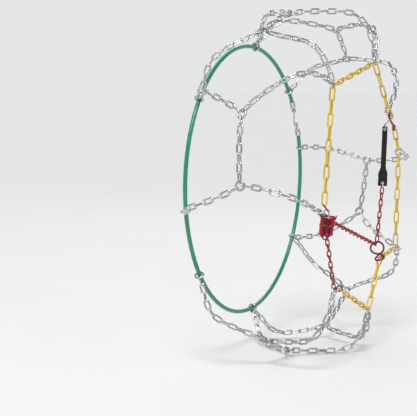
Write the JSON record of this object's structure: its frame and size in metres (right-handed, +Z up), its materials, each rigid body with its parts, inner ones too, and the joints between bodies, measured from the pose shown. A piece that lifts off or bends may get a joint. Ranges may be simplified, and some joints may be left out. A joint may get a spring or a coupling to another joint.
{
  "type": "tire snow chain",
  "caption": "Steel tire snow chain in a diamond pattern, with yellow side chain, red tension chain, lock, hook and rubber strap, and a green inner cable hoop.",
  "frame": {"origin": "centre of the wheel, on its axle, midway across the tread", "axes": "+Z up, Y along the axle with the outer side of the wheel towards -Y, -X towards the front of the tread"},
  "size_m": [0.6505, 0.2597, 0.65],
  "materials": {
    "zinc": "bright zinc plated steel wire, slightly worn on the running faces",
    "yellow": "yellow coated steel wire",
    "red": "deep red coated steel",
    "dark_red": "dark red coated steel",
    "rubber": "matt black moulded rubber",
    "cable": "green plastic coat over steel cable"
  },
  "bodies": {
    "chain": {"lock_body": "red", "shackle_pin": "zinc", "pawl_pin": "zinc", "pawl_spring": "zinc", "centre_run_1": "zinc", "centre_run_2": "zinc", "centre_run_3": "zinc", "centre_run_4": "zinc", "centre_run_5": "zinc", "centre_run_6": "zinc", "outer_branch_front": "zinc", "inner_branch_front": "zinc", "outer_branch_top": "zinc", "inner_branch_top": "zinc", "outer_branch_rear": "zinc", "inner_branch_rear": "zinc", "outer_branch_low": "zinc", "inner_branch_low": "zinc", "outer_branch_hook": "zinc", "inner_branch_hook": "zinc", "outer_branch_ring": "zinc", "inner_branch_ring": "zinc", "outer_branch_tail": "zinc", "inner_branch_tail": "zinc", "outer_branch_lock": "zinc", "inner_branch_lock": "zinc", "side_chain_1": "yellow", "side_chain_2": "yellow", "side_chain_3": "yellow", "side_chain_4": "yellow", "side_chain_5": "yellow", "side_chain_6": "yellow", "side_chain_7": "yellow", "tension_chain_lower": "red", "tension_chain_upper": "red", "rubber_strap": "rubber", "tail_link": "zinc", "inner_cable": "cable", "cable_eye": "zinc"},
    "lock_shackle": {"lock_shackle": "zinc"},
    "lock_pawl": {"lock_pawl": "dark_red"},
    "tread_ring_01": {"tread_ring_01": "zinc"},
    "tread_ring_02": {"tread_ring_02": "zinc"},
    "tread_ring_03": {"tread_ring_03": "zinc"},
    "tread_ring_04": {"tread_ring_04": "zinc"},
    "tread_ring_05": {"tread_ring_05": "zinc"},
    "tread_ring_06": {"tread_ring_06": "zinc"},
    "tread_ring_07": {"tread_ring_07": "zinc"},
    "tread_ring_08": {"tread_ring_08": "zinc"},
    "tread_ring_09": {"tread_ring_09": "zinc"},
    "tread_ring_10": {"tread_ring_10": "zinc"},
    "tread_ring_11": {"tread_ring_11": "zinc"},
    "tread_ring_12": {"tread_ring_12": "zinc"},
    "closing_hook": {"closing_hook": "red"},
    "side_ring": {"side_ring": "zinc"},
    "guide_ring": {"guide_ring": "dark_red"},
    "strap_ring": {"strap_ring": "zinc"},
    "strap_hook": {"strap_hook": "zinc"},
    "tail_ring": {"tail_ring": "dark_red"},
    "cable_hook": {"cable_hook": "zinc"}
  },
  "joints": [
    {"name": "ring_spin_01", "type": "hinge", "parent": "chain", "child": "tread_ring_01", "pos_m": [-0.31953, -0.016, 0.01731], "axis": [-0.9985, 0, 0.0541], "continuous": true},
    {"name": "ring_spin_02", "type": "hinge", "parent": "chain", "child": "tread_ring_02", "pos_m": [-0.28954, -0.004, 0.13625], "axis": [-0.9048, 0, 0.4258], "continuous": true},
    {"name": "ring_spin_03", "type": "hinge", "parent": "chain", "child": "tread_ring_03", "pos_m": [-0.14825, 0.018, 0.28358], "axis": [-0.4633, 0, 0.8862], "continuous": true},
    {"name": "ring_spin_04", "type": "hinge", "parent": "chain", "child": "tread_ring_04", "pos_m": [-0.05777, 0.004, 0.31474], "axis": [-0.1805, 0, 0.9836], "continuous": true},
    {"name": "ring_spin_05", "type": "hinge", "parent": "chain", "child": "tread_ring_05", "pos_m": [0.13524, -0.005, 0.29002], "axis": [0.4226, 0, 0.9063], "continuous": true},
    {"name": "ring_spin_06", "type": "hinge", "parent": "chain", "child": "tread_ring_06", "pos_m": [0.21619, 0.003, 0.23593], "axis": [0.6756, 0, 0.7373], "continuous": true},
    {"name": "ring_spin_07", "type": "hinge", "parent": "chain", "child": "tread_ring_07", "pos_m": [0.31922, -0.006, 0.02232], "axis": [0.9976, 0, 0.0698], "continuous": true},
    {"name": "ring_spin_08", "type": "hinge", "parent": "chain", "child": "tread_ring_08", "pos_m": [0.30821, 0.005, -0.08605], "axis": [0.9632, 0, -0.2689], "continuous": true},
    {"name": "ring_spin_09", "type": "hinge", "parent": "chain", "child": "tread_ring_09", "pos_m": [0.20994, -0.004, -0.24151], "axis": [0.6561, 0, -0.7547], "continuous": true},
    {"name": "ring_spin_10", "type": "hinge", "parent": "chain", "child": "tread_ring_10", "pos_m": [0.11676, 0.003, -0.29794], "axis": [0.3649, 0, -0.9311], "continuous": true},
    {"name": "ring_spin_11", "type": "hinge", "parent": "chain", "child": "tread_ring_11", "pos_m": [-0.0638, 0.003, -0.31358], "axis": [-0.1994, 0, -0.9799], "continuous": true},
    {"name": "ring_spin_12", "type": "hinge", "parent": "chain", "child": "tread_ring_12", "pos_m": [-0.15514, 0.005, -0.27988], "axis": [-0.4848, 0, -0.8746], "continuous": true},
    {"name": "closing_hook_swing", "type": "hinge", "parent": "chain", "child": "closing_hook", "pos_m": [0.1755, -0.1145, 0.099], "axis": [0, -1, 0], "range_deg": [0, 80]},
    {"name": "shackle_swing", "type": "hinge", "parent": "chain", "child": "lock_shackle", "pos_m": [-0.17892, -0.11744, -0.04462], "axis": [0.4963, -0.8596, -0.1219], "range_deg": [-10, 20]},
    {"name": "pawl_tilt", "type": "hinge", "parent": "chain", "child": "lock_pawl", "pos_m": [-0.1798, -0.11591, -0.05901], "axis": [0.4963, -0.8596, -0.1219], "range_deg": [0, 15], "stiffness_Nm_per_rad": 0.02, "springref_deg": -17.19},
    {"name": "guide_ring_swing", "type": "hinge", "parent": "chain", "child": "guide_ring", "pos_m": [0.09706, -0.1161, -0.15184], "axis": [-0.8683, -0.4492, -0.2106], "range_deg": [-4, 4]},
    {"name": "strap_ring_turn", "type": "hinge", "parent": "chain", "child": "strap_ring", "pos_m": [0.10178, -0.11771, -0.0098], "axis": [0.5, -0.866, 0], "continuous": true},
    {"name": "strap_hook_swing", "type": "hinge", "parent": "chain", "child": "strap_hook", "pos_m": [0.10892, -0.11889, 0.1028], "axis": [0, 1, 0], "range_deg": [0, 12]},
    {"name": "cable_hook_swing", "type": "hinge", "parent": "chain", "child": "cable_hook", "pos_m": [0.22054, 0.122, 0.12933], "axis": [0.8969, 0, 0.4423], "range_deg": [0, 70]},
    {"name": "side_ring_turn", "type": "hinge", "parent": "chain", "child": "side_ring", "pos_m": [0.21144, -0.113, 0.04881], "axis": [-0.8683, -0.4492, -0.2106], "continuous": true},
    {"name": "tail_ring_turn", "type": "hinge", "parent": "chain", "child": "tail_ring", "pos_m": [-0.1096, -0.113, -0.18052], "axis": [-0.9138, -0.4061, 0], "continuous": true}
  ]
}
